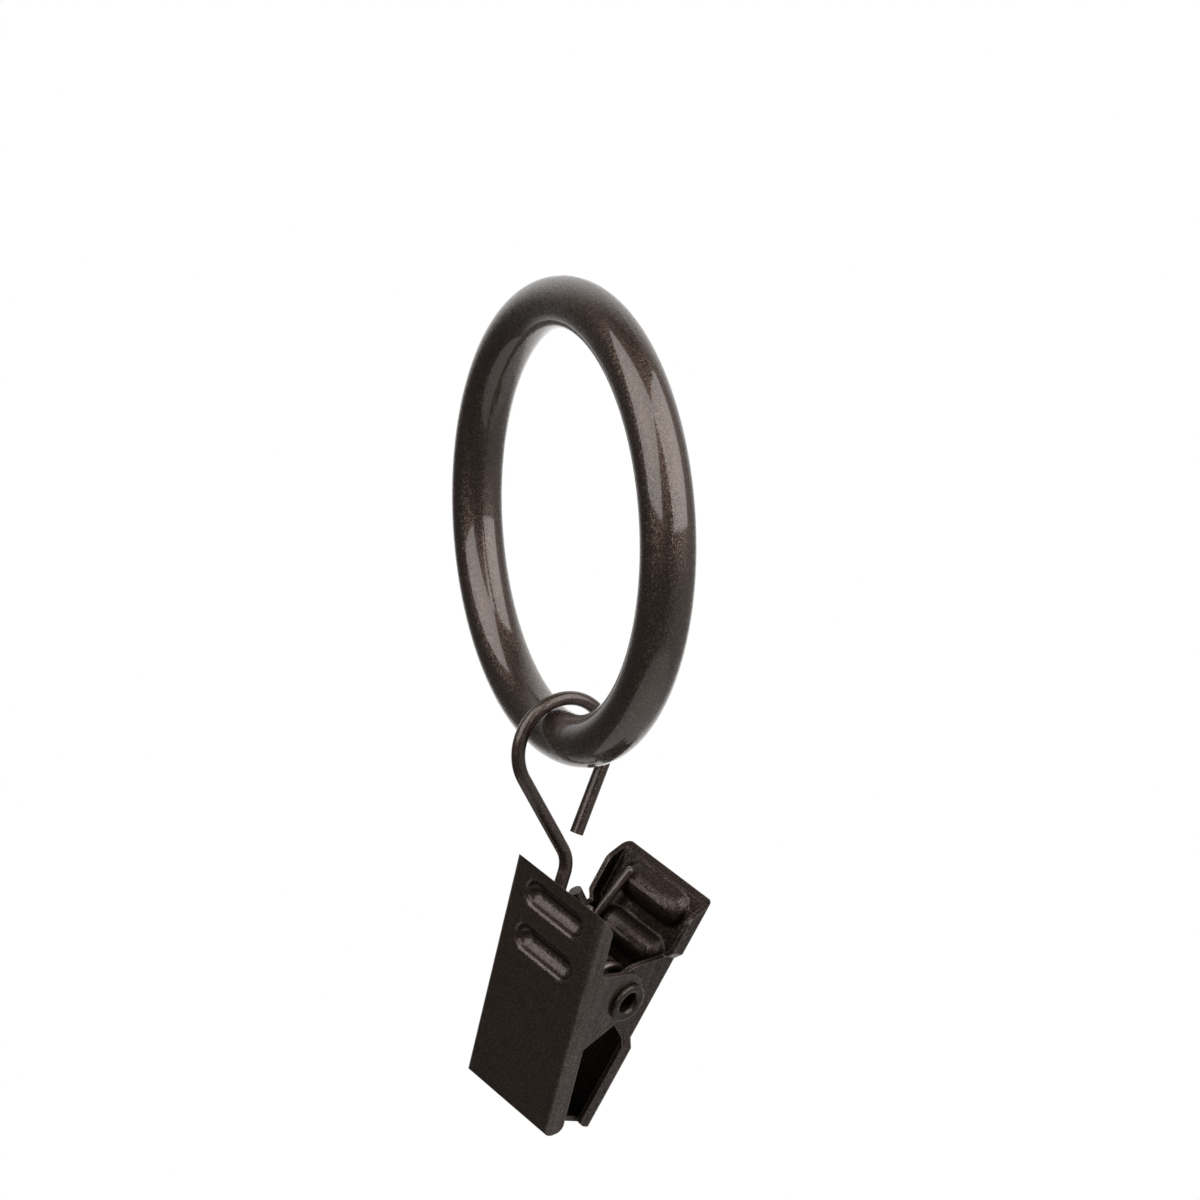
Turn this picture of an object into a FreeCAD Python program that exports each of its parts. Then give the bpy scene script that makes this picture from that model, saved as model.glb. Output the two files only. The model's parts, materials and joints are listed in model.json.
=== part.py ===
"""A curtain ring with a sprung clip that hangs from it on a bent wire hook.

The frame: X is the ring's axis, the way a rod runs; Z is up; the origin is the ring's centre.
Units are millimetres and degrees.
"""
import FreeCAD
import Part
import math
import os

# Ring
RING_INNER_D = 40.0
RING_BAR_D = 5.6

# Wire hook, in its own plane, measured from the centre of the ring's bar
HOOK_WIRE_D = 1.5
HOOK_LOOP_R = 5.5
HOOK_LOOP_SHIFT = 0.65
HOOK_BAR_GAP = 0.25
FREE_END_ANGLE = 22.0
FREE_END_LENGTH = 8.2
NECK_R = 3.2
NECK_SHIFT = -1.7
NECK_DROP = 14.6
EYE_SHIFT = 2.35
EYE_DROP = 25.2
EYE_LOOSENESS = 0.3
EYE_TAIL_ANGLE = 28.0
EYE_TAIL_LENGTH = 6.3

# How the hook and the clip hang
HOOK_ANGLE = 5.0
HOOK_YAW = 5.0
CLIP_YAW = 19.7
CLIP_ROLL = 21.7
CLIP_SWING = 4.6
EYE_FROM_SIDE = 4.5

# Jaws
SHEET = 0.6
BEND_R = 0.8
JAW_WIDTH = 13.6
JAW_LENGTH = 28.5
JAW_ANGLE = 22.3
FLANGE_DEPTH = 2.25
FLANGE_TOP_SLOPE = 2.4
FLANGE_TOP_R = 1.4
FLANGE_CORNER_R = 0.9
FRONT_LIP = 2.8
LIP_INSET = 1.0
LIP_BEND_R = 0.3
LIP_RELIEF = 0.15
LIP_GAP = 0.12
PIVOT_HEIGHT = 15.65
FRONT_PIVOT_DEPTH = 7.2
REAR_PIVOT_DEPTH = 6.1
LUG_REACH = 2.3
LUG_TOP = 3.1
FRONT_LUG_RISE = 1.5
REAR_LUG_RISE = 2.25
LUG_CORNER_R = 3.6
LUG_CHIN = 1.3
LUG_CHIN_R = 1.7
LUG_FOOT = 4.75
NOTCH_R = 0.35
LUG_GAP = 0.1
JOGGLE_LENGTH = 0.9
GROOVES = 2
GROOVE_DEPTH = 1.3
GROOVE_HEIGHT = 3.9
GROOVE_LENGTH = 9.6
GROOVE_FROM_TOP = 3.1
GROOVE_PITCH = 5.5
GROOVE_RIM_R = 0.55
BEAD_FOOT_R = 0.5

# Pivot rivet
RIVET_TUBE_D = 3.0
RIVET_BORE_D = 2.3
RIVET_FLANGE_D = 4.5
RIVET_FLANGE = 0.6
RIVET_PLAY = 0.05

# Torsion spring
SPRING_WIRE_D = 0.95
SPRING_RIVET_GAP = 0.35
SPRING_END_GAP = 0.8
SPRING_TURNS = 6
SPRING_LEG_OVER = 1.3
SPRING_LEG_LEAN = 1.4
SPRING_SEAT_GAP = 0.25

# What follows from the driving dimensions
GROOVE_R = (GROOVE_HEIGHT ** 2 / 4 + GROOVE_DEPTH ** 2) / (2 * GROOVE_DEPTH) - GROOVE_RIM_R
RING_R = (RING_INNER_D + RING_BAR_D) / 2
WIRE_R = HOOK_WIRE_D / 2
RIVET_TUBE_R = RIVET_TUBE_D / 2
COIL_R = RIVET_TUBE_R + SPRING_RIVET_GAP + SPRING_WIRE_D / 2
COIL_OUTER_R = COIL_R + SPRING_WIRE_D / 2
EYE_R = COIL_OUTER_R + EYE_LOOSENESS + WIRE_R
HALF_WIDTH = JAW_WIDTH / 2
REAR_HALF_WIDTH = HALF_WIDTH - SHEET - LUG_GAP
COIL_HALF_LENGTH = REAR_HALF_WIDTH - SHEET - SPRING_END_GAP - SPRING_WIRE_D / 2
LUG_LOW = PIVOT_HEIGHT - LUG_FOOT
SIN_JAW = math.sin(math.radians(JAW_ANGLE))
COS_JAW = math.cos(math.radians(JAW_ANGLE))
FRONT_LIP_EDGE = FRONT_LIP - FRONT_PIVOT_DEPTH
REAR_LIP = REAR_PIVOT_DEPTH - (FRONT_LIP_EDGE + LIP_GAP + SIN_JAW * PIVOT_HEIGHT) / COS_JAW

ORIGIN = FreeCAD.Vector(0, 0, 0)
AXIS_X = FreeCAD.Vector(1, 0, 0)
AXIS_Y = FreeCAD.Vector(0, 1, 0)
AXIS_Z = FreeCAD.Vector(0, 0, 1)


def turn(axis, degrees):
    """A placement that turns about an axis through the origin."""
    return FreeCAD.Placement(ORIGIN, FreeCAD.Rotation(axis, degrees))


def shift(x, y, z):
    """A placement that moves without turning."""
    return FreeCAD.Placement(FreeCAD.Vector(x, y, z), FreeCAD.Rotation())


def carried(shape, *placements):
    """A copy of the shape, carried by each placement in turn."""
    copy = shape.copy()
    for placement in placements:
        copy.Placement = placement.multiply(copy.Placement)
    return copy


def side_point(y, z):
    """A point of the plane in which a jaw is seen from its side."""
    return FreeCAD.Vector(0, y, z)


def rounded_outline(corners):
    """A closed wire through (y, z, radius) corners, each rounded by a tangent arc."""
    edges = []
    starts = []
    ends = []
    for index, (y, z, radius) in enumerate(corners):
        here = side_point(y, z)
        before = side_point(*corners[index - 1][:2])
        after = side_point(*corners[(index + 1) % len(corners)][:2])
        back = (before - here).normalize()
        ahead = (after - here).normalize()
        half = back.getAngle(ahead) / 2
        reach = radius / math.tan(half)
        starts.append(here + back * reach)
        ends.append(here + ahead * reach)
        if radius:
            inward = (back + ahead).normalize()
            middle = here + inward * (radius / math.sin(half) - radius)
            edges.append(Part.Arc(starts[-1], middle, ends[-1]).toShape())
    for index, end in enumerate(ends):
        edges.append(Part.LineSegment(end, starts[(index + 1) % len(starts)]).toShape())
    return Part.Wire(Part.__sortEdges__(edges))


def slab(wire, half_width):
    """A side outline made solid, evenly to both sides of the middle."""
    face = Part.Face(wire)
    face.translate(AXIS_X * -half_width)
    return face.extrude(AXIS_X * 2 * half_width)


def channel_wire(half_width, depth, z):
    """The section of a jaw across its length: a plate with a rounded bend into each flange."""
    inner = BEND_R - SHEET
    wide = half_width - BEND_R
    slant = math.sqrt(0.5)

    def point(x, y):
        return FreeCAD.Vector(x, y, z)

    def bend(side, radius, from_flange):
        """The arc of one bend, drawn from the flange to the plate or back."""
        centre = point(side * wide, BEND_R)
        flange = centre + AXIS_X * side * radius
        middle = centre + (AXIS_X * side - AXIS_Y) * radius * slant
        plate = centre - AXIS_Y * radius
        ends = (flange, plate) if from_flange else (plate, flange)
        return Part.Arc(ends[0], middle, ends[1]).toShape()

    outer_left = bend(-1, BEND_R, True)
    outer_right = bend(1, BEND_R, False)
    inner_right = bend(1, inner, True)
    inner_left = bend(-1, inner, False)
    arcs = [outer_left, outer_right, inner_right, inner_left]
    inside = half_width - SHEET
    rims = [None, (point(half_width, depth), point(inside, depth)), None,
            (point(-inside, depth), point(-half_width, depth))]
    edges = []
    for index, arc in enumerate(arcs):
        following = arcs[(index + 1) % len(arcs)]
        stops = [arc.Vertexes[-1].Point]
        if rims[index]:
            stops.extend(rims[index])
        stops.append(following.Vertexes[0].Point)
        edges.append(arc)
        for first, second in zip(stops, stops[1:]):
            edges.append(Part.LineSegment(first, second).toShape())
    return Part.Wire(edges)


def channel(half_width, depth, low, high):
    """A straight length of jaw channel."""
    return Part.Face(channel_wire(half_width, depth, low)).extrude(AXIS_Z * (high - low))


def joggle(low_half_width, high_half_width, depth, low, high):
    """The length of channel in which the flanges step in or out by a sheet."""
    wires = [channel_wire(low_half_width, depth, low), channel_wire(high_half_width, depth, high)]
    return Part.makeLoft(wires, True, True)


def jaw_side(pivot_depth, lug_high):
    """The side of a jaw: shallow flanges, a broad lug round the pivot and a sloped top corner."""
    lug_end = pivot_depth + LUG_REACH
    return rounded_outline([
        (0, 0, LIP_BEND_R),
        (FLANGE_DEPTH, 0, FLANGE_CORNER_R),
        (FLANGE_DEPTH, LUG_LOW, NOTCH_R),
        (lug_end, PIVOT_HEIGHT - LUG_CHIN, LUG_CHIN_R),
        (lug_end, PIVOT_HEIGHT + LUG_TOP, LUG_CORNER_R),
        (FLANGE_DEPTH, lug_high, NOTCH_R),
        (FLANGE_DEPTH, JAW_LENGTH - FLANGE_TOP_SLOPE, FLANGE_TOP_R),
        (0, JAW_LENGTH, 0),
    ])


def swage(crown_r, edge_y, edge_r, base_y, straight):
    """A round-ended bar across a jaw: a round crown that runs softly out into the plane at edge_y."""
    centre_y = GROOVE_DEPTH - GROOVE_R
    rise = edge_y + edge_r - centre_y
    half_height = math.sqrt((crown_r + edge_r) ** 2 - rise ** 2)
    share = crown_r / (crown_r + edge_r)
    half_lean = math.atan2(half_height, rise) / 2
    lean = side_point(math.cos(half_lean), math.sin(half_lean))
    middle = side_point(base_y, 0)
    base = side_point(base_y, half_height)
    edge = side_point(edge_y, half_height)
    on_edge = side_point(edge_y + edge_r, half_height) - lean * edge_r
    meet = side_point(centre_y + rise * share, half_height * share)
    on_crown = side_point(centre_y, 0) + lean * crown_r
    crown = side_point(centre_y + crown_r, 0)
    half = Part.Face(Part.Wire([
        Part.LineSegment(middle, base).toShape(),
        Part.LineSegment(base, edge).toShape(),
        Part.Arc(edge, on_edge, meet).toShape(),
        Part.Arc(meet, on_crown, crown).toShape(),
        Part.LineSegment(crown, middle).toShape(),
    ]))
    ends = half.revolve(ORIGIN, AXIS_Y, 360)
    upper = carried(half, shift(-straight / 2, 0, 0)).extrude(AXIS_X * straight)
    lower = carried(upper, turn(AXIS_Y, 180))
    rounds = [carried(ends, shift(side * straight / 2, 0, 0)) for side in (-1, 1)]
    return upper.multiFuse([lower] + rounds).removeSplitter()


def with_grooves(jaw):
    """Press the finger grooves into the plate, which raises a bead behind each."""
    straight = GROOVE_LENGTH - GROOVE_HEIGHT
    groove = swage(GROOVE_R, 0, GROOVE_RIM_R, -GROOVE_DEPTH, straight)
    bead = swage(GROOVE_R + SHEET, SHEET, BEAD_FOOT_R, SHEET / 2, straight)
    for index in range(GROOVES):
        place = shift(0, 0, JAW_LENGTH - GROOVE_FROM_TOP - index * GROOVE_PITCH)
        jaw = jaw.fuse(carried(bead, place)).cut(carried(groove, place))
    return jaw


def with_lip(jaw, lip):
    """Turn the bottom edge in to a lip with a close bend, and a small relief cut at each end of it."""
    half = HALF_WIDTH - LIP_INSET
    room = Part.makeBox(2 * (half + LIP_RELIEF), SHEET, SHEET, FreeCAD.Vector(-half - LIP_RELIEF, 0, 0))
    profile = rounded_outline([
        (0, 0, LIP_BEND_R),
        (lip, 0, 0),
        (lip, SHEET, 0),
        (0, SHEET, 0),
    ])
    return jaw.cut(room).fuse(slab(profile, half))


def finished_jaw(blank, pivot_depth, lug_high, lip):
    """Trim a jaw's channel to its side outline, then add grooves, lip and pivot holes."""
    jaw = blank.common(slab(jaw_side(pivot_depth, lug_high), HALF_WIDTH))
    jaw = with_lip(with_grooves(jaw), lip)
    start = FreeCAD.Vector(-HALF_WIDTH, pivot_depth, PIVOT_HEIGHT)
    hole = Part.makeCylinder(RIVET_TUBE_R + RIVET_PLAY, JAW_WIDTH, start, AXIS_X)
    jaw = jaw.cut(hole).removeSplitter()
    return carried(jaw, shift(0, -pivot_depth, -PIVOT_HEIGHT))


def front_jaw():
    """The front jaw, its plate upright, with the pivot at the origin."""
    depth = FRONT_PIVOT_DEPTH + LUG_REACH
    lug_high = PIVOT_HEIGHT + LUG_TOP + FRONT_LUG_RISE
    blank = channel(HALF_WIDTH, depth, 0, JAW_LENGTH)
    return finished_jaw(blank, FRONT_PIVOT_DEPTH, lug_high, FRONT_LIP)


def rear_jaw():
    """The rear jaw, closed on the front one, its lugs stepped in to lie between the front lugs."""
    depth = REAR_PIVOT_DEPTH + LUG_REACH
    lug_high = PIVOT_HEIGHT + LUG_TOP + REAR_LUG_RISE
    step_low = LUG_LOW - JOGGLE_LENGTH
    step_high = lug_high + JOGGLE_LENGTH
    lengths = [
        channel(HALF_WIDTH, depth, 0, step_low),
        joggle(HALF_WIDTH, REAR_HALF_WIDTH, depth, step_low, LUG_LOW),
        channel(REAR_HALF_WIDTH, depth, LUG_LOW, lug_high),
        joggle(REAR_HALF_WIDTH, HALF_WIDTH, depth, lug_high, step_high),
        channel(HALF_WIDTH, depth, step_high, JAW_LENGTH),
    ]
    blank = lengths[0].multiFuse(lengths[1:]).removeSplitter()
    jaw = finished_jaw(blank, REAR_PIVOT_DEPTH, lug_high, REAR_LIP)
    return carried(jaw, turn(AXIS_Z, 180), turn(AXIS_X, -JAW_ANGLE))


def rivet():
    """The tubular rivet, flared over the front lugs at both ends."""
    bore = RIVET_BORE_D / 2
    flange = RIVET_FLANGE_D / 2
    end = HALF_WIDTH + RIVET_FLANGE
    roll = RIVET_FLANGE / 2

    def point(radius, x):
        return FreeCAD.Vector(x, radius, 0)

    def half_profile(side):
        """The edges of one end, from the bore to the tube's outside."""
        flare_start = point(bore, side * (end - RIVET_FLANGE))
        flare_end = point(bore + RIVET_FLANGE, side * end)
        flare_slant = RIVET_FLANGE * (1 - math.sqrt(0.5))
        flare_middle = point(bore + flare_slant, side * (end - flare_slant))
        rim_top = point(flange - roll, side * end)
        rim_side = point(flange, side * (end - roll))
        rim_slant = roll * (1 - math.sqrt(0.5))
        rim_middle = point(flange - rim_slant, side * (end - rim_slant))
        rim_low = point(flange, side * HALF_WIDTH)
        tube = point(RIVET_TUBE_R, side * HALF_WIDTH)
        return [
            Part.Arc(flare_start, flare_middle, flare_end).toShape(),
            Part.LineSegment(flare_end, rim_top).toShape(),
            Part.Arc(rim_top, rim_middle, rim_side).toShape(),
            Part.LineSegment(rim_side, rim_low).toShape(),
            Part.LineSegment(rim_low, tube).toShape(),
        ]

    edges = half_profile(1) + half_profile(-1)
    for radius in (bore, RIVET_TUBE_R):
        edges.append(Part.LineSegment(point(radius, -HALF_WIDTH), point(radius, HALF_WIDTH)).toShape())
    profile = Part.Face(Part.Wire(Part.__sortEdges__(edges)))
    return profile.revolve(ORIGIN, AXIS_X, 360)


def coil_tangent(y, z, side):
    """The angle, in degrees, at which a line from a point touches the coil's middle circle."""
    spread = math.acos(COIL_R / math.hypot(y, z))
    return math.degrees(math.atan2(z, y) + side * spread)


def coil_point(degrees, x):
    """A point of the coil's middle cylinder."""
    angle = math.radians(degrees)
    return FreeCAD.Vector(x, COIL_R * math.cos(angle), COIL_R * math.sin(angle))


def spring():
    """The torsion spring: a coil round the rivet, a leg on the upper bead of each jaw."""
    radius = SPRING_WIRE_D / 2
    seat = SHEET + GROOVE_DEPTH + radius + SPRING_SEAT_GAP
    rise = JAW_LENGTH - GROOVE_FROM_TOP - PIVOT_HEIGHT
    front_y = seat - FRONT_PIVOT_DEPTH
    rear_inset = REAR_PIVOT_DEPTH - seat
    rear_y = COS_JAW * rear_inset + SIN_JAW * rise
    rear_z = COS_JAW * rise - SIN_JAW * rear_inset
    start = coil_tangent(front_y, rise, 1)
    finish = coil_tangent(rear_y, rear_z, -1)
    sweep = (finish - start) % 360 + 360 * SPRING_TURNS
    length = 2 * COIL_HALF_LENGTH
    outward = coil_point(start, 0).normalize()
    along = AXIS_X * -1
    helix = Part.makeHelix(length * 360 / sweep, length, COIL_R, 0, True)
    facing = FreeCAD.Rotation(outward, along.cross(outward), along, "ZXY")
    helix.Placement = FreeCAD.Placement(AXIS_X * COIL_HALF_LENGTH, facing)
    seat_x = COIL_HALF_LENGTH - SPRING_LEG_LEAN
    legs = []
    for degrees, side, y, z in ((start, 1, front_y, rise), (finish, -1, rear_y, rear_z)):
        root = coil_point(degrees, side * COIL_HALF_LENGTH)
        reach = FreeCAD.Vector(side * seat_x, y, z) - root
        tip = root + reach * (1 + SPRING_LEG_OVER / reach.Length)
        legs.append((root, tip))
    (front_root, front_tip), (rear_root, rear_tip) = legs
    front_leg = Part.LineSegment(front_tip, front_root).toShape()
    rear_leg = Part.LineSegment(rear_root, rear_tip).toShape()
    path = Part.Wire([front_leg] + helix.Edges + [rear_leg])
    section = Part.Wire(Part.makeCircle(radius, front_tip, front_root - front_tip))
    return path.makePipeShell([section], True, True)


def hook_point(across, up):
    """A point of the hook's plane."""
    return FreeCAD.Vector(across, 0, up)


def on_circle(centre, radius, degrees):
    """A point of a circle in the hook's plane."""
    angle = math.radians(degrees)
    return centre + hook_point(math.cos(angle), math.sin(angle)) * radius


def crossing_tangent(first, first_r, second, second_r, side):
    """The line that crosses from one circle to another that turns the other way.

    Returns its two ends as angles on the circles; side is 1 where the first circle turns to the left.
    """
    gap = second - first
    base = math.degrees(math.atan2(gap.z, gap.x))
    lean = math.degrees(math.asin((first_r + second_r) / gap.Length))
    heading = base + side * lean
    return heading - side * 90, heading + side * 90


def arc_edge(centre, radius, start, finish):
    """An arc in the hook's plane, from one angle to the other."""
    middle = on_circle(centre, radius, (start + finish) / 2)
    ends = on_circle(centre, radius, start), on_circle(centre, radius, finish)
    return Part.Arc(ends[0], middle, ends[1]).toShape()


def hook():
    """The bent wire: free end, hook over the bar, shank, neck, and an eye round the spring."""
    loop = hook_point(HOOK_LOOP_SHIFT, RING_BAR_D / 2 + HOOK_BAR_GAP + WIRE_R - HOOK_LOOP_R)
    neck = hook_point(NECK_SHIFT, -NECK_DROP)
    eye = hook_point(EYE_SHIFT, -EYE_DROP)
    loop_start = -FREE_END_ANGLE
    loop_end, neck_start = crossing_tangent(loop, HOOK_LOOP_R, neck, NECK_R, 1)
    neck_end, eye_start = crossing_tangent(neck, NECK_R, eye, EYE_R, -1)
    loop_end %= 360
    neck_end = neck_start - (neck_start - neck_end) % 360
    eye_end = eye_start + (EYE_TAIL_ANGLE - eye_start) % 360
    tip = on_circle(loop, HOOK_LOOP_R, loop_start) + on_circle(ORIGIN, FREE_END_LENGTH, loop_start - 90)
    tail = on_circle(eye, EYE_R, eye_end) + on_circle(ORIGIN, EYE_TAIL_LENGTH, eye_end + 90)
    arcs = [
        arc_edge(loop, HOOK_LOOP_R, loop_start, loop_end),
        arc_edge(neck, NECK_R, neck_start, neck_end),
        arc_edge(eye, EYE_R, eye_start, eye_end),
    ]
    stops = [tip]
    for arc in arcs:
        stops.extend([arc.valueAt(arc.FirstParameter), arc.valueAt(arc.LastParameter)])
    stops.append(tail)
    edges = []
    for index in range(0, len(stops), 2):
        edges.append(Part.LineSegment(stops[index], stops[index + 1]).toShape())
    path = Part.Wire(Part.__sortEdges__(edges + arcs))
    section = Part.Wire(Part.makeCircle(WIRE_R, tip, stops[1] - tip))
    return path.makePipeShell([section], True, True)


def hook_placement():
    """Where the hook hangs: round the ring from its lowest point, and a little turned."""
    on_ring = turn(AXIS_X, HOOK_ANGLE).multiply(shift(0, 0, -RING_R))
    return on_ring.multiply(turn(AXIS_Z, HOOK_YAW))


def clip_placement():
    """Where the clip hangs: its coil in the hook's eye, off the clip's middle, so the clip hangs askew."""
    seat = hook_placement().multVec(hook_point(EYE_SHIFT, -EYE_DROP))
    lie = FreeCAD.Rotation(AXIS_Z, CLIP_YAW - 90)
    lie = lie.multiply(FreeCAD.Rotation(AXIS_Y, CLIP_ROLL))
    lie = lie.multiply(FreeCAD.Rotation(AXIS_X, CLIP_SWING))
    middle = seat + lie.multVec(AXIS_X) * (HALF_WIDTH - EYE_FROM_SIDE)
    return FreeCAD.Placement(middle, lie)


def ring():
    """The closed ring of round bar."""
    return Part.makeTorus(RING_R, RING_BAR_D / 2, ORIGIN, AXIS_X)


def build():
    """Every piece by name, where it lies at rest."""
    clip = clip_placement()
    pieces = {
        "ring": ring(),
        "hook": carried(hook(), hook_placement()),
        "front_jaw": carried(front_jaw(), clip),
        "rear_jaw": carried(rear_jaw(), clip),
        "rivet": carried(rivet(), clip),
        "spring": carried(spring(), clip),
    }
    return pieces


def main():
    os.makedirs("parts", exist_ok=True)
    for name, shape in build().items():
        shape.exportStep("parts/" + name + ".step")


if __name__ == "__main__":
    main()
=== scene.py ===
"""The curtain ring with its clip, dressed in dark bronze lacquer and set in a plain white studio."""

import json
import logging
import math
from dataclasses import dataclass
from enum import Enum

import bmesh
import bpy
from mathutils import Matrix, Vector


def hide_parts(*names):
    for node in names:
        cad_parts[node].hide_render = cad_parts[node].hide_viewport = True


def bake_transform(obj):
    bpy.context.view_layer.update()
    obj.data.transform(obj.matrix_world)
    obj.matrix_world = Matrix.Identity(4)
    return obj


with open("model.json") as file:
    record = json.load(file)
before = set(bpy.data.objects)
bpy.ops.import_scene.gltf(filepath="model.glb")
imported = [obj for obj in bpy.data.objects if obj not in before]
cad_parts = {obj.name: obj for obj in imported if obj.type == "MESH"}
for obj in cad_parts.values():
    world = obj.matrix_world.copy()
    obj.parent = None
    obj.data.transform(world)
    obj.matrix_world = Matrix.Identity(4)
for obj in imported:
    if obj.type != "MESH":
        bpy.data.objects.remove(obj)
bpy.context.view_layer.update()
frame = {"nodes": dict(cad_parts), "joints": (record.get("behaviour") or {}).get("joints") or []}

LOG = logging.getLogger("curtain_ring")
MM = 0.001
PIVOT_JOINT = "jaw_open"
Colour = tuple[float, float, float]
Place = tuple[float, float, float]
Feed = bpy.types.NodeSocket | float
Paint = bpy.types.NodeSocket | Colour

# A Mix node holds its sockets for every kind of data, so they are found by number.
MIX_AMOUNT = 0
MIX_NUMBERS = (2, 3)
MIX_NUMBER_OUT = 0
MIX_COLOURS = (6, 7)
MIX_COLOUR_OUT = 2


class Body(Enum):
    """The rigid bodies that the spring joins."""

    CLIP = "clip"
    REAR_JAW = "rear_jaw"


class Node(Enum):
    """The solids that the frame brings, by name."""

    RING = "ring"
    HOOK = "hook"
    FRONT_JAW = "front_jaw"
    REAR_JAW = "rear_jaw"
    RIVET = "rivet"
    SPRING = "spring"


class Socket(Enum):
    """The kinds of socket that a node group may have."""

    VALUE = "NodeSocketFloat"
    VECTOR = "NodeSocketVector"


@dataclass(frozen=True)
class ClipLie:
    """How the clip hangs: its own axes run along the pivot, to the rear and up the jaws."""

    yaw: float = math.radians(19.7)
    roll: float = math.radians(21.7)
    swing: float = math.radians(4.6)

    def matrix(self) -> Matrix:
        """Work out where the clip's own axes lie in the frame.

        Returns:
            The matrix from the clip's own axes to the frame's.
        """
        pivot = next(joint["pos_m"] for joint in frame["joints"] if joint["name"] == PIVOT_JOINT)
        turn = Matrix.Rotation(self.yaw - math.pi / 2, 4, "Z")
        turn = turn @ Matrix.Rotation(self.roll, 4, "Y") @ Matrix.Rotation(self.swing, 4, "X")
        return Matrix.Translation(pivot) @ turn


class Tree:
    """A short hand for adding and linking shader nodes."""

    def __init__(self, tree: bpy.types.NodeTree) -> None:
        """Keep the node tree that the methods add to."""
        self.tree = tree

    def add(self, kind: str, **settings: object) -> bpy.types.Node:
        """Add a node and set its properties.

        Args:
            kind: the node's Blender type.
            settings: properties of the node by name.

        Returns:
            The new node.
        """
        node = self.tree.nodes.new(kind)
        for name, value in settings.items():
            setattr(node, name, value)
        return node

    def link(self, source: bpy.types.NodeSocket, target: bpy.types.NodeSocket) -> None:
        """Join two sockets."""
        self.tree.links.new(source, target)

    def feed(self, target: bpy.types.NodeSocket, value: Feed | Place) -> None:
        """Link a socket to an input, or set the input to a number or three numbers.

        Args:
            target: the input.
            value: what it gets.
        """
        if isinstance(value, (int, float, tuple)):
            target.default_value = value
        else:
            self.link(value, target)

    def group(self, effect: bpy.types.NodeTree, **values: float) -> bpy.types.Node:
        """Place a shared effect.

        Args:
            effect: the effect's node group.
            values: its inputs by name, with a low line for each space.

        Returns:
            The group's node.
        """
        node = self.add("ShaderNodeGroup", node_tree=effect)
        for name, value in values.items():
            node.inputs[name.replace("_", " ")].default_value = value
        return node

    def math(self, operation: str, first: Feed, second: Feed) -> bpy.types.NodeSocket:
        """Add a maths node.

        Args:
            operation: what the node works out.
            first: a socket or a number.
            second: a socket or a number.

        Returns:
            The node's result.
        """
        node = self.add("ShaderNodeMath", operation=operation)
        self.feed(node.inputs[0], first)
        self.feed(node.inputs[1], second)
        return node.outputs[0]

    def vector(self, operation: str, first: Feed | Place, second: Feed | Place) -> bpy.types.Node:
        """Add a vector maths node.

        Args:
            operation: what the node works out.
            first: a socket or three numbers.
            second: a socket or three numbers.

        Returns:
            The node.
        """
        node = self.add("ShaderNodeVectorMath", operation=operation)
        self.feed(node.inputs[0], first)
        self.feed(node.inputs[1], second)
        return node

    def spread(self, value: bpy.types.NodeSocket, low: float, high: float) -> bpy.types.NodeSocket:
        """Map a value from 0 to 1 on to a range.

        Args:
            value: the socket to map.
            low: what 0 becomes.
            high: what 1 becomes.

        Returns:
            The mapped value.
        """
        node = self.add("ShaderNodeMapRange")
        self.link(value, node.inputs["Value"])
        node.inputs["To Min"].default_value = low
        node.inputs["To Max"].default_value = high
        return node.outputs["Result"]

    def noise(self, place: bpy.types.NodeSocket, scale: Feed, detail: float) -> bpy.types.NodeSocket:
        """Add a noise.

        Args:
            place: where on the surface.
            scale: how many to the metre.
            detail: how many finer layers it has.

        Returns:
            The noise, from 0 to 1.
        """
        node = self.add("ShaderNodeTexNoise")
        node.inputs["Detail"].default_value = detail
        self.link(place, node.inputs["Vector"])
        self.feed(node.inputs["Scale"], scale)
        return node.outputs["Fac"]

    def mix(self, amount: Feed, first: Paint, second: Paint, blend: str = "MIX") -> bpy.types.NodeSocket:
        """Mix two colours.

        Args:
            amount: how much of the second, a socket or a number.
            first: a colour or a colour socket.
            second: a colour or a colour socket.
            blend: the way of mixing.

        Returns:
            The mixed colour.
        """
        node = self.add("ShaderNodeMix", data_type="RGBA", blend_type=blend)
        self.feed(node.inputs[MIX_AMOUNT], amount)
        for index, paint in zip(MIX_COLOURS, (first, second)):
            self.feed(node.inputs[index], (*paint, 1.0) if isinstance(paint, tuple) else paint)
        return node.outputs[MIX_COLOUR_OUT]

    def choose(self, amount: bpy.types.NodeSocket, first: Feed, second: Feed) -> bpy.types.NodeSocket:
        """Mix two numbers.

        Args:
            amount: how much of the second.
            first: a socket or a number.
            second: a socket or a number.

        Returns:
            The mixed number.
        """
        node = self.add("ShaderNodeMix", data_type="FLOAT")
        self.link(amount, node.inputs[MIX_AMOUNT])
        for index, value in zip(MIX_NUMBERS, (first, second)):
            self.feed(node.inputs[index], value)
        return node.outputs[MIX_NUMBER_OUT]


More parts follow.
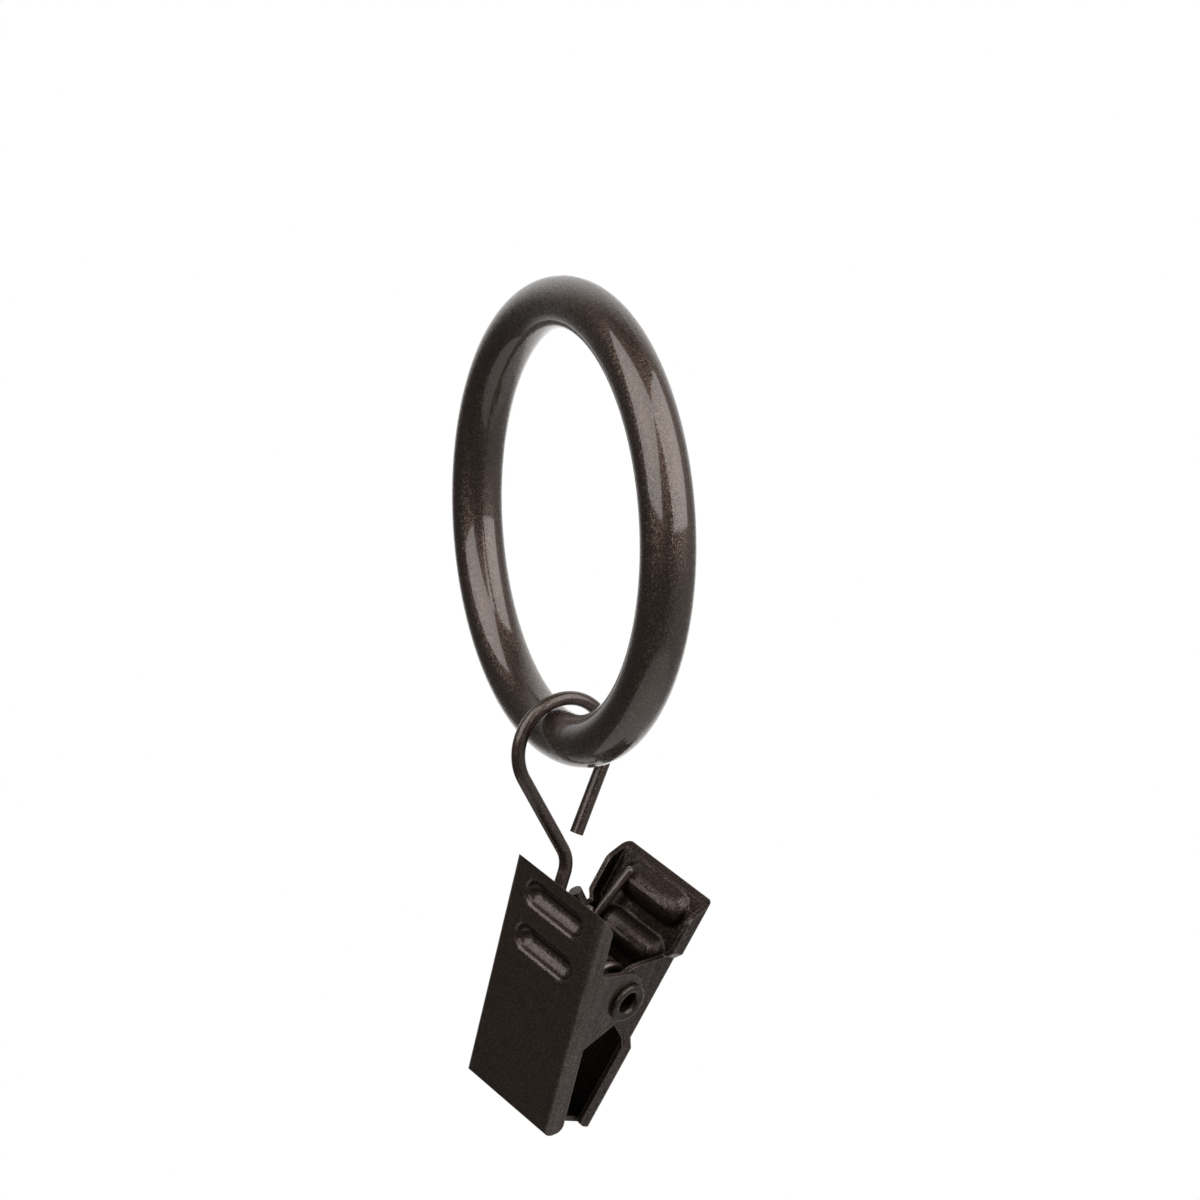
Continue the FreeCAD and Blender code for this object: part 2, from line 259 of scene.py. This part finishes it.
class Effects:
    """The surface effects that several finishes share, each a node group made once."""

    FLAKE_SPARSENESS = 2.5
    CLOUD_DETAIL = 4.0
    SKIN_DETAIL = 2.0
    EDGE_SAMPLES = 6
    RECESS_SAMPLES = 8
    MARK_STRETCH = 14.0
    MARK_DETAIL = 3.0
    MIDDLE = 0.5

    def __init__(self, lie: ClipLie) -> None:
        """Make the groups.

        Args:
            lie: how the clip hangs, for the marks that run up its sides.
        """
        self.flake = self.make_flake()
        self.skin = self.make_skin()
        self.edge = self.make_edge_highlight()
        self.painted_shade = self.make_painted_recess_shade()
        self.marks = self.make_marks(lie)

    @staticmethod
    def start(
        name: str, inputs: dict[str, float], outputs: dict[str, Socket]
    ) -> tuple[Tree, dict[str, bpy.types.NodeSocket], bpy.types.Node]:
        """Begin a node group with named sockets.

        Args:
            name: the group's name.
            inputs: its inputs and their first values.
            outputs: its outputs and their kinds.

        Returns:
            The group's tree, its input sockets by name, and its output node.
        """
        group = bpy.data.node_groups.new(name, "ShaderNodeTree")
        for socket, value in inputs.items():
            made = group.interface.new_socket(socket, in_out="INPUT", socket_type=Socket.VALUE.value)
            made.default_value = value
        for socket, kind in outputs.items():
            group.interface.new_socket(socket, in_out="OUTPUT", socket_type=kind.value)
        tree = Tree(group)
        entry = tree.add("NodeGroupInput")
        return tree, {socket: entry.outputs[socket] for socket in inputs}, tree.add("NodeGroupOutput")

    def make_flake(self) -> bpy.types.NodeTree:
        """Fine metal flake in the lacquer, each grain with its own brightness and lean, with faint clouding.

        Returns:
            The node group.
        """
        inputs = {"Grains per Metre": 9000.0, "Clouds per Metre": 250.0, "Lean": 0.3}
        outputs = {"Flake": Socket.VALUE, "Cloud": Socket.VALUE, "Normal": Socket.VECTOR}
        tree, given, out = self.start("metal_flake", inputs, outputs)
        place = tree.add("ShaderNodeTexCoord").outputs["Object"]
        grain = tree.add("ShaderNodeTexVoronoi", feature="F1")
        tree.link(place, grain.inputs["Vector"])
        tree.link(given["Grains per Metre"], grain.inputs["Scale"])
        bright = tree.add("ShaderNodeSeparateColor")
        tree.link(grain.outputs["Color"], bright.inputs[0])
        sparse = tree.math("POWER", bright.outputs[0], self.FLAKE_SPARSENESS)
        cloud = tree.noise(place, given["Clouds per Metre"], self.CLOUD_DETAIL)
        centred = tree.vector("SUBTRACT", grain.outputs["Color"], (self.MIDDLE, self.MIDDLE, self.MIDDLE))
        leaned = tree.add("ShaderNodeVectorMath", operation="SCALE")
        tree.link(centred.outputs["Vector"], leaned.inputs["Vector"])
        tree.link(given["Lean"], leaned.inputs["Scale"])
        plain = tree.add("ShaderNodeNewGeometry").outputs["Normal"]
        turned = tree.vector("ADD", plain, leaned.outputs["Vector"])
        facing = tree.add("ShaderNodeVectorMath", operation="NORMALIZE")
        tree.link(turned.outputs["Vector"], facing.inputs[0])
        tree.link(sparse, out.inputs["Flake"])
        tree.link(cloud, out.inputs["Cloud"])
        tree.link(facing.outputs["Vector"], out.inputs["Normal"])
        return tree.tree

    def make_skin(self) -> bpy.types.NodeTree:
        """The fine unevenness of sprayed lacquer: a slow ripple and a tight grain.

        Returns:
            The node group.
        """
        inputs = {"Ripples per Metre": 700.0, "Grain per Metre": 7000.0, "Grain Share": 0.3}
        outputs = {"Height": Socket.VALUE, "Sheen": Socket.VALUE}
        tree, given, out = self.start("lacquer_skin", inputs, outputs)
        place = tree.add("ShaderNodeTexCoord").outputs["Object"]
        ripple = tree.noise(place, given["Ripples per Metre"], self.SKIN_DETAIL)
        grain = tree.noise(place, given["Grain per Metre"], self.SKIN_DETAIL)
        fine = tree.math("MULTIPLY", grain, given["Grain Share"])
        tree.link(tree.math("ADD", ripple, fine), out.inputs["Height"])
        tree.link(ripple, out.inputs["Sheen"])
        return tree.tree

    def make_edge_highlight(self) -> bpy.types.NodeTree:
        """Painted highlight along edges, with lacquer worn thin there: the mask is where the normal turns
        within a small radius.

        Returns:
            The node group.
        """
        inputs = {"Width": 0.0002, "Sharpness": 3.0}
        tree, given, out = self.start("painted_edge_highlight", inputs, {"Edge": Socket.VALUE})
        rounded = tree.add("ShaderNodeBevel", samples=self.EDGE_SAMPLES)
        tree.link(given["Width"], rounded.inputs["Radius"])
        plain = tree.add("ShaderNodeNewGeometry").outputs["Normal"]
        facing = tree.vector("DOT_PRODUCT", rounded.outputs[0], plain)
        turned = tree.math("SUBTRACT", 1.0, facing.outputs["Value"])
        strong = tree.math("MULTIPLY", turned, given["Sharpness"])
        tree.link(tree.math("MINIMUM", strong, 1.0), out.inputs["Edge"])
        return tree.tree

    def make_painted_recess_shade(self) -> bpy.types.NodeTree:
        """Painted shade in recesses: surfaces that their own folds close in are made darker and duller.

        Returns:
            The node group.
        """
        inputs = {"Reach": 0.005, "Depth": 1.0}
        tree, given, out = self.start("painted_recess_shade", inputs, {"Recess": Socket.VALUE})
        open_sky = tree.add("ShaderNodeAmbientOcclusion", samples=self.RECESS_SAMPLES, only_local=True)
        tree.link(given["Reach"], open_sky.inputs["Distance"])
        closed = tree.math("SUBTRACT", 1.0, open_sky.outputs["AO"])
        deep = tree.math("MULTIPLY", closed, given["Depth"])
        tree.link(tree.math("MINIMUM", deep, 1.0), out.inputs["Recess"])
        return tree.tree

    def make_marks(self, lie: ClipLie) -> bpy.types.NodeTree:
        """Faint drawing marks that run up the folded sides of the jaws, left by the press under the lacquer.

        Args:
            lie: how the clip hangs.

        Returns:
            The node group.
        """
        tree, given, out = self.start("drawing_marks", {"Marks per Metre": 2600.0}, {"Mark": Socket.VALUE})
        along = tree.add("ShaderNodeMapping", vector_type="TEXTURE")
        along.inputs["Rotation"].default_value = lie.matrix().to_euler()
        along.inputs["Scale"].default_value = (1.0, 1.0, self.MARK_STRETCH)
        place = tree.add("ShaderNodeTexCoord")
        tree.link(place.outputs["Object"], along.inputs["Vector"])
        pivot_way = tuple(lie.matrix().col[0].xyz)
        sideways = tree.vector("DOT_PRODUCT", place.outputs["Normal"], pivot_way)
        noise = tree.noise(along.outputs[0], given["Marks per Metre"], self.MARK_DETAIL)
        lighter = tree.math("SUBTRACT", noise, self.MIDDLE)
        on_sides = tree.math("MULTIPLY", lighter, tree.math("POWER", sideways.outputs["Value"], 2.0))
        tree.link(tree.math("ADD", on_sides, self.MIDDLE), out.inputs["Mark"])
        return tree.tree


@dataclass(frozen=True)
class Lacquer:
    """A dark bronze lacquer with metal flake, as one of the pieces wears it."""

    name: str
    deep: Colour = (0.074, 0.048, 0.037)
    flake: Colour = (0.26, 0.19, 0.16)
    flake_share: float = 0.5
    flake_lean: float = 0.3
    grains: float = 9000.0
    clouds: float = 250.0
    cloud_least: float = 0.6
    cloud_most: float = 1.4
    metallic: float = 0.9
    gloss_rough: float = 0.36
    dull_rough: float = 0.46
    coat: float = 0.5
    coat_rough: float = 0.2
    coat_ior: float = 1.7
    coat_speckle: float = 0.0
    ripples: float = 700.0
    grain_share: float = 0.3
    relief: float = 0.012 * MM
    # Colour painted along edges: painted highlight, with lacquer worn thin there.
    edge: Colour = (0.42, 0.36, 0.33)
    edge_width: float = 0.18 * MM
    edge_highlight_share: float = 0.35
    # Recesses are painted darker and given less coat within this reach: painted shade.
    recess_reach: float = 8.0 * MM
    recess_depth: float = 1.6
    painted_shade_amount: float = 0.6
    mark_share: float = 0.0

    def material(self, effects: Effects) -> bpy.types.Material:
        """Make the finish as a material.

        Args:
            effects: the shared surface effects.

        Returns:
            The material.
        """
        made = bpy.data.materials.new(self.name)
        made.use_nodes = True
        tree = Tree(made.node_tree)
        shader = made.node_tree.nodes["Principled BSDF"]
        flake = tree.group(effects.flake, Grains_per_Metre=self.grains, Clouds_per_Metre=self.clouds,
                           Lean=self.flake_lean).outputs
        skin = tree.group(effects.skin, Ripples_per_Metre=self.ripples, Grain_Share=self.grain_share).outputs
        edge = tree.group(effects.edge, Width=self.edge_width).outputs["Edge"]
        painted_shade = tree.group(effects.painted_shade, Reach=self.recess_reach, Depth=self.recess_depth).outputs["Recess"]

        # Painted shade: base colour and coat are darkened where the piece closes in on itself; the drawing
        # marks ride on the same factor.
        painted_shade_and_marks = tree.spread(painted_shade, 1.0, 1.0 - self.painted_shade_amount)
        if self.mark_share:
            mark = tree.group(effects.marks).outputs["Mark"]
            drawn = tree.spread(mark, 1.0 - self.mark_share, 1.0 + self.mark_share)
            painted_shade_and_marks = tree.math("MULTIPLY", painted_shade_and_marks, drawn)
        sparkle = tree.math("MULTIPLY", flake["Flake"], self.flake_share)
        clouding = tree.spread(flake["Cloud"], self.cloud_least, self.cloud_most)
        body = tree.mix(tree.math("MULTIPLY", sparkle, clouding), self.deep, self.flake)
        # Painted edge highlight: the edges are mixed towards the lighter edge colour.
        edge_highlighted = tree.mix(tree.math("MULTIPLY", edge, self.edge_highlight_share), body, self.edge)
        tree.link(tree.mix(1.0, edge_highlighted, painted_shade_and_marks, "MULTIPLY"), shader.inputs["Base Color"])

        shader.inputs["Metallic"].default_value = self.metallic
        rough = tree.spread(skin["Sheen"], self.gloss_rough, self.dull_rough)
        tree.link(rough, shader.inputs["Roughness"])
        speckled = tree.spread(flake["Flake"], self.coat * (1.0 - self.coat_speckle), self.coat)
        # The coat is thinned by the same painted recess shade.
        tree.link(tree.math("MULTIPLY", painted_shade_and_marks, speckled), shader.inputs["Coat Weight"])
        shader.inputs["Coat Roughness"].default_value = self.coat_rough
        shader.inputs["Coat IOR"].default_value = self.coat_ior

        bump = tree.add("ShaderNodeBump")
        bump.inputs["Distance"].default_value = self.relief
        tree.link(skin["Height"], bump.inputs["Height"])
        tree.link(flake["Normal"], bump.inputs["Normal"])
        tree.link(bump.outputs[0], shader.inputs["Normal"])
        return made


def dress(node: Node, material: bpy.types.Material) -> bpy.types.Object:
    """Give a solid of the frame its finish.

    Args:
        node: which solid.
        material: its finish.

    Returns:
        The solid's object.
    """
    piece = frame["nodes"][node.value]
    piece.data.materials.clear()
    piece.data.materials.append(material)
    LOG.info("dressed %s in %s", node.value, material.name)
    return piece


@dataclass
class Ring:
    """The closed ring of round bar."""

    finish: Lacquer

    def dress(self, effects: Effects) -> None:
        """Give the ring its glossy lacquer."""
        dress(Node.RING, self.finish.material(effects))


@dataclass
class Hook:
    """The bent wire that hangs on the ring and carries the clip."""

    finish: Lacquer

    def dress(self, effects: Effects) -> None:
        """Give the wire its satin lacquer."""
        dress(Node.HOOK, self.finish.material(effects))


@dataclass
class Clip:
    """The pressed jaws and the rivet that joins them."""

    front_finish: Lacquer
    rear_finish: Lacquer
    rivet_finish: Lacquer
    edge_radius: float = 0.1 * MM
    rivet_radius: float = 0.18 * MM
    edge_steps: int = 3
    edge_from: float = math.radians(35.0)
    joined_within: float = 0.001 * MM

    def soften(self, piece: bpy.types.Object, radius: float) -> None:
        """Round a pressed piece's cut edges a little.

        Args:
            piece: the piece.
            radius: how far the rounding reaches from the edge, in metres.
        """
        weld = piece.modifiers.new("joined_faces", "WELD")
        weld.merge_threshold = self.joined_within
        bevel = piece.modifiers.new("rounded_edges", "BEVEL")
        bevel.width = radius
        bevel.segments = self.edge_steps
        bevel.limit_method = "ANGLE"
        bevel.angle_limit = self.edge_from
        bevel.harden_normals = True
        bevel.use_clamp_overlap = True

    def dress(self, effects: Effects) -> None:
        """Give the jaws and the rivet their lacquer and round their edges.

        Args:
            effects: the shared surface effects.
        """
        pieces = (
            (Node.FRONT_JAW, self.front_finish, self.edge_radius),
            (Node.REAR_JAW, self.rear_finish, self.edge_radius),
            (Node.RIVET, self.rivet_finish, self.rivet_radius),
        )
        for node, finish, radius in pieces:
            self.soften(dress(node, finish.material(effects)), radius)


@dataclass
class Spring:
    """The torsion spring between the jaws, wound in one pose; the real one twists along its coil as the jaws
    open.
    """

    finish: Lacquer
    lie: ClipLie
    wire_radius: float = 0.475 * MM
    coil_radius: float = 2.325 * MM
    half_length: float = 4.225 * MM
    start_angle: float = math.radians(192.670)
    sweep: float = math.radians(2298.394)
    front_tip: Vector = Vector((2.6534, -4.8577, 11.0072)) * MM
    rear_bend: Vector = Vector((-4.6, 5.3, 2.0)) * MM
    rear_tip: Vector = Vector((-3.0, 7.5378, 8.8291)) * MM
    end_share: float = 0.72
    end_step: float = 0.28
    steps_per_turn: int = 36
    sides: int = 16
    twist_from: float = 2.2 * MM
    twist_to: float = -2.9 * MM

    def path(self) -> list[Vector]:
        """Lay out the wire's middle line in the clip's own axes.

        Returns:
            Its points, from the front leg's tip to the rear leg's.
        """
        steps = round(self.steps_per_turn * self.sweep / math.tau)
        points = [self.front_tip]
        for step in range(steps + 1):
            share = step / steps
            angle = self.start_angle + self.sweep * share
            x = self.half_length * (1.0 - 2.0 * share)
            points.append(Vector((x, self.coil_radius * math.cos(angle), self.coil_radius * math.sin(angle))))
        return points + [self.rear_bend, self.rear_tip]

    def stations(self, path: list[Vector]) -> list[tuple[Vector, Vector, float]]:
        """Work out where the wire's rings go, with lightly rounded ends.

        Args:
            path: the wire's middle line.

        Returns:
            For each ring its middle, the way the wire runs there, and its share of the wire's radius.
        """
        ways = [(after - before).normalized() for before, after in zip(path, path[1:])]
        ways = [ways[0]] + [(a + b).normalized() for a, b in zip(ways, ways[1:])] + [ways[-1]]
        inset = self.wire_radius * self.end_step
        along = [(path[0], ways[0], self.end_share), (path[0] + ways[0] * inset, ways[0], 1.0)]
        along += [(point, way, 1.0) for point, way in zip(path[1:-1], ways[1:-1])]
        along += [(path[-1] - ways[-1] * inset, ways[-1], 1.0), (path[-1], ways[-1], self.end_share)]
        return along

    def wire(self, name: str, path: list[Vector]) -> bpy.types.Object:
        """Draw the round wire along its middle line.

        Args:
            name: the piece's name.
            path: the middle line.

        Returns:
            The new object, linked to the scene.
        """
        stations = self.stations(path)
        shape = bmesh.new()
        across = stations[0][1].orthogonal().normalized()
        rings = []
        for point, way, share in stations:
            across = (across - way * across.dot(way)).normalized()
            beside = way.cross(across)
            ring = []
            for side in range(self.sides):
                angle = math.tau * side / self.sides
                out = across * math.cos(angle) + beside * math.sin(angle)
                ring.append(shape.verts.new(point + out * self.wire_radius * share))
            rings.append(ring)
        for first, second in zip(rings, rings[1:]):
            for side in range(self.sides):
                following = (side + 1) % self.sides
                corners = (first[side], first[following], second[following], second[side])
                shape.faces.new(corners).smooth = True
        shape.faces.new(list(reversed(rings[0])))
        shape.faces.new(rings[-1])
        bmesh.ops.recalc_face_normals(shape, faces=shape.faces)
        mesh = bpy.data.meshes.new(name)
        shape.to_mesh(mesh)
        shape.free()
        made = bpy.data.objects.new(name, mesh)
        bpy.context.scene.collection.objects.link(made)
        return made

    def build(self, effects: Effects) -> None:
        """Wind the spring between the jaws and give it its lacquer.

        Args:
            effects: the shared surface effects.
        """
        lie = self.lie.matrix()
        wire = self.wire("spring_wire", [lie @ point for point in self.path()])
        wire.data.materials.append(self.finish.material(effects))
        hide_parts(Node.SPRING.value)
        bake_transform(wire)
        LOG.info("wound %s", wire.name)


@dataclass(frozen=True)
class SoftBox:
    """One soft lamp of the studio."""

    name: str
    place: Place
    size: tuple[float, float]
    watts: float
    aim: Place = (0.0, 0.0, 0.0)

    def hang(self) -> None:
        """Put the lamp up and point it."""
        lamp = bpy.data.lights.new(self.name, "AREA")
        lamp.shape = "RECTANGLE"
        lamp.size, lamp.size_y = self.size
        lamp.energy = self.watts
        held = bpy.data.objects.new(self.name, lamp)
        bpy.context.scene.collection.objects.link(held)
        held.location = self.place
        towards = Vector(self.aim) - Vector(self.place)
        held.rotation_euler = towards.to_track_quat("-Z", "Y").to_euler()
        LOG.info("hung %s", self.name)


@dataclass(frozen=True)
class Glow:
    """A pale part of the room that the lacquer mirrors, brightest one way and fading round it."""

    towards: Place
    fade_from: float
    full_from: float
    level: float

    def strength(self, tree: Tree, way: bpy.types.NodeSocket) -> bpy.types.NodeSocket:
        """Work out how bright this part of the room is.

        Args:
            tree: the world's nodes.
            way: the direction that is looked along.

        Returns:
            The brightness that way.
        """
        along = tree.vector("DOT_PRODUCT", way, self.towards)
        faded = tree.add("ShaderNodeMapRange", interpolation_type="SMOOTHSTEP")
        tree.link(along.outputs["Value"], faded.inputs["Value"])
        faded.inputs["From Min"].default_value = self.fade_from
        faded.inputs["From Max"].default_value = self.full_from
        faded.inputs["To Max"].default_value = self.level
        return faded.outputs["Result"]


@dataclass
class Studio:
    """The camera, the pale floor, the white surroundings and the soft lamps."""

    lamps: tuple[SoftBox, ...]
    glows: tuple[Glow, ...]
    right: Vector = Vector((0.8961, -0.4439, 0.0))
    back: Vector = Vector((-0.4388, -0.8858, 0.1513))
    off_right: float = 0.003494
    off_up: float = -0.00806
    off_back: float = 0.31194
    lens: float = 90.0
    sensor: float = 36.0
    nearest: float = 0.01
    floor_drop: float = -0.62
    floor_radius: float = 0.5
    floor_sides: int = 96
    floor_colour: Colour = (0.7, 0.7, 0.7)
    floor_rough: float = 0.9
    floor_glow: float = 0.85
    room_light: float = 0.34
    room_gloss: float = 0.05

    def camera(self) -> None:
        """Set the camera at the photograph's viewing angle."""
        up = self.back.cross(self.right).normalized()
        data = bpy.data.cameras.new("camera")
        data.lens = self.lens
        data.sensor_width = self.sensor
        data.clip_start = self.nearest
        held = bpy.data.objects.new("camera", data)
        bpy.context.scene.collection.objects.link(held)
        turn = Matrix((self.right, up, self.back)).transposed().to_4x4()
        place = self.right * self.off_right + up * self.off_up + self.back * self.off_back
        held.matrix_world = Matrix.Translation(place) @ turn
        bpy.context.scene.camera = held

    def floor_material(self) -> bpy.types.Material:
        """Make the floor pale, and whiter to the camera towards its rim, where it meets the white room.

        Returns:
            The material.
        """
        pale = bpy.data.materials.new("pale_floor")
        pale.use_nodes = True
        tree = Tree(pale.node_tree)
        shader = pale.node_tree.nodes["Principled BSDF"]
        shader.inputs["Base Color"].default_value = (*self.floor_colour, 1.0)
        shader.inputs["Roughness"].default_value = self.floor_rough
        seen = tree.add("ShaderNodeLightPath").outputs["Is Camera Ray"]
        span = tree.add("ShaderNodeVectorMath", operation="LENGTH")
        tree.link(tree.add("ShaderNodeTexCoord").outputs["Object"], span.inputs[0])
        outward = tree.math("DIVIDE", span.outputs["Value"], self.floor_radius)
        whiter = tree.spread(outward, self.floor_glow, 1.0)
        glow = tree.add("ShaderNodeEmission")
        join = tree.add("ShaderNodeMixShader")
        tree.link(tree.math("MULTIPLY", seen, whiter), join.inputs[0])
        tree.link(shader.outputs[0], join.inputs[1])
        tree.link(glow.outputs[0], join.inputs[2])
        tree.link(join.outputs[0], pale.node_tree.nodes["Material Output"].inputs["Surface"])
        return pale

    def floor(self) -> None:
        """Lay the floor well below the hanging clip."""
        mesh = bpy.data.meshes.new("floor")
        shape = bmesh.new()
        bmesh.ops.create_circle(shape, cap_ends=True, segments=self.floor_sides, radius=self.floor_radius)
        shape.to_mesh(mesh)
        shape.free()
        mesh.materials.append(self.floor_material())
        laid = bpy.data.objects.new("floor", mesh)
        laid.location = (0.0, 0.0, self.floor_drop)
        bpy.context.scene.collection.objects.link(laid)

    def surroundings(self) -> None:
        """Make the room white to the camera, and dim with pale parts in reflections."""
        world = bpy.data.worlds.new("white_room")
        bpy.context.scene.world = world
        world.use_nodes = True
        tree = Tree(world.node_tree)
        sky = world.node_tree.nodes["Background"]
        ray = tree.add("ShaderNodeLightPath").outputs
        way = tree.add("ShaderNodeTexCoord").outputs["Generated"]
        mirrored: Feed = self.room_gloss
        for glow in self.glows:
            mirrored = tree.math("ADD", mirrored, glow.strength(tree, way))
        shiny = tree.math("MAXIMUM", ray["Is Glossy Ray"], ray["Is Transmission Ray"])
        lit = tree.choose(shiny, self.room_light, mirrored)
        whole = tree.choose(ray["Is Camera Ray"], lit, 1.0)
        sky.inputs["Color"].default_value = (1.0, 1.0, 1.0, 1.0)
        tree.link(whole, sky.inputs["Strength"])

    def build(self) -> None:
        """Set up everything that isn't part of the object."""
        bpy.context.scene.view_settings.view_transform = "Standard"
        self.camera()
        self.floor()
        self.surroundings()
        for lamp in self.lamps:
            lamp.hang()


def main() -> None:
    """Dress each piece, then set the studio."""
    logging.basicConfig(level=logging.INFO)
    lie = ClipLie()
    effects = Effects(lie)

    ring = Lacquer("ring_lacquer", coat=1.0, coat_rough=0.09, gloss_rough=0.34, dull_rough=0.4)
    wire = Lacquer("wire_lacquer", coat=0.7, coat_rough=0.12)
    front = Lacquer("front_lacquer", coat=1.0, coat_rough=0.1, coat_speckle=0.45, painted_shade_amount=0.75,
                    edge_highlight_share=0.8, mark_share=0.7)
    # The rear jaw wears a darker, duller copy of the jaw lacquer: painted shade.
    rear = Lacquer("rear_lacquer_painted_shade", deep=(0.050, 0.033, 0.026), flake=(0.23, 0.17, 0.145), coat=0.45,
                   coat_rough=0.2, coat_speckle=0.6, painted_shade_amount=0.75, edge_highlight_share=0.9, mark_share=0.7)
    rivet = Lacquer("rivet_lacquer", deep=(0.040, 0.026, 0.021), flake=(0.16, 0.118, 0.1), coat=0.4,
                    coat_rough=0.12, painted_shade_amount=0.1, edge_highlight_share=0.8)
    spring = Lacquer("spring_lacquer", coat=0.9, coat_rough=0.14, painted_shade_amount=0.3)
    Ring(ring).dress(effects)
    Hook(wire).dress(effects)
    Clip(front, rear, rivet).dress(effects)
    Spring(spring, lie).build(effects)

    lamps = (
        SoftBox("left_box", place=(-0.343, -0.122, 0.265), size=(0.50, 0.56), watts=1.54),
        SoftBox("right_box", place=(0.175, -0.334, 0.245), size=(0.60, 0.56), watts=2.0),
    )
    glows = (
        Glow(towards=(0.4115, 0.8307, 0.3746), fade_from=0.5, full_from=0.95, level=0.75),
        Glow(towards=(0.4023, 0.8121, -0.4226), fade_from=0.75, full_from=0.97, level=0.7),
        Glow(towards=(0.8694, -0.2551, -0.4226), fade_from=0.0, full_from=0.85, level=0.22),
    )
    Studio(lamps, glows).build()


if __name__ == "__main__":
    main()
